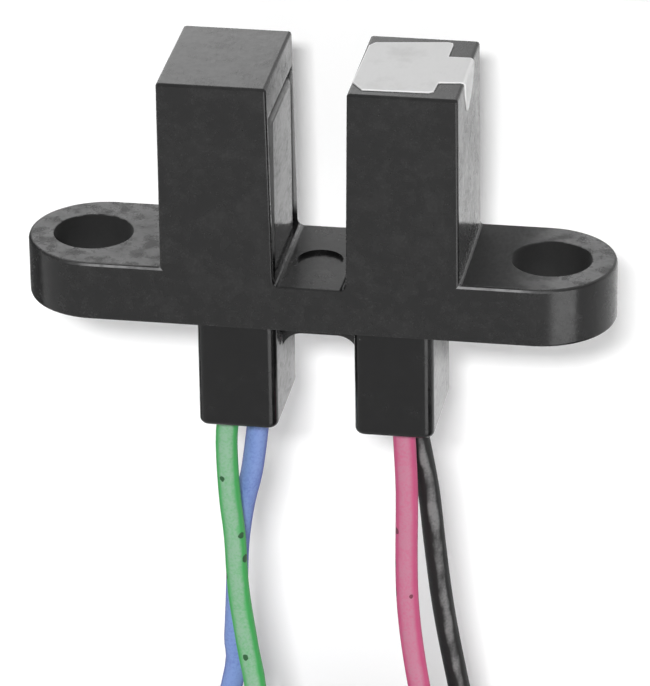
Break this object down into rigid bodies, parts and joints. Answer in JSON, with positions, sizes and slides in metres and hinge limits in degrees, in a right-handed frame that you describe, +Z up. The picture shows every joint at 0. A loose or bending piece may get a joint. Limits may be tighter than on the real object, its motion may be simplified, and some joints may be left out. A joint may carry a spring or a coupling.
{
  "type": "photo interrupter",
  "caption": "Slotted optical switch: a black moulded fork on a round-ended mounting flange, with two optical cups below it and coloured flying leads in a tied hank.",
  "frame": {"origin": "midway between the two screw holes, in the plane of the flange's underside", "axes": "+X along the flange towards the emitter's arm, +Z up through the two arms, -Y the front"},
  "size_m": [0.0244, 0.012, 0.0738],
  "materials": {
    "housing_plastic": "satin moulded black plastic",
    "cup_plastic": "glossy infrared-passing black plastic",
    "emitter_resin": "clear blue-tinted moulded resin",
    "detector_resin": "daylight-blocking moulded resin",
    "potting_resin": "cast black resin with a slight meniscus",
    "tinned_metal": "tinned copper",
    "solder": "bright solder",
    "rose_insulation": "satin vinyl insulation",
    "black_insulation": "satin vinyl insulation",
    "blue_insulation": "satin vinyl insulation",
    "green_insulation": "satin vinyl insulation",
    "hank_insulation": "satin vinyl insulation of the wound leads",
    "tie_nylon": "black nylon strap",
    "label_film": "pale grey self-adhesive film"
  },
  "bodies": {
    "root": {"housing": "housing_plastic", "emitter_cup": "cup_plastic", "detector_cup": "cup_plastic", "infrared_led": "emitter_resin", "phototransistor": "detector_resin", "emitter_potting": "potting_resin", "detector_potting": "potting_resin", "led_anode_terminal": "tinned_metal", "led_cathode_terminal": "tinned_metal", "sensor_collector_terminal": "tinned_metal", "sensor_emitter_terminal": "tinned_metal", "led_anode_solder_joint": "solder", "led_cathode_solder_joint": "solder", "sensor_collector_solder_joint": "solder", "sensor_emitter_solder_joint": "solder", "led_anode_wire": "rose_insulation", "led_cathode_wire": "black_insulation", "sensor_collector_wire": "blue_insulation", "sensor_emitter_wire": "green_insulation", "led_anode_tail": "rose_insulation", "led_cathode_tail": "black_insulation", "sensor_collector_tail": "blue_insulation", "sensor_emitter_tail": "green_insulation", "led_anode_tip": "tinned_metal", "led_cathode_tip": "tinned_metal", "sensor_collector_tip": "tinned_metal", "sensor_emitter_tip": "tinned_metal", "wire_hank": "hank_insulation", "hank_tie": "tie_nylon", "marker_label": "label_film"}
  },
  "joints": []
}
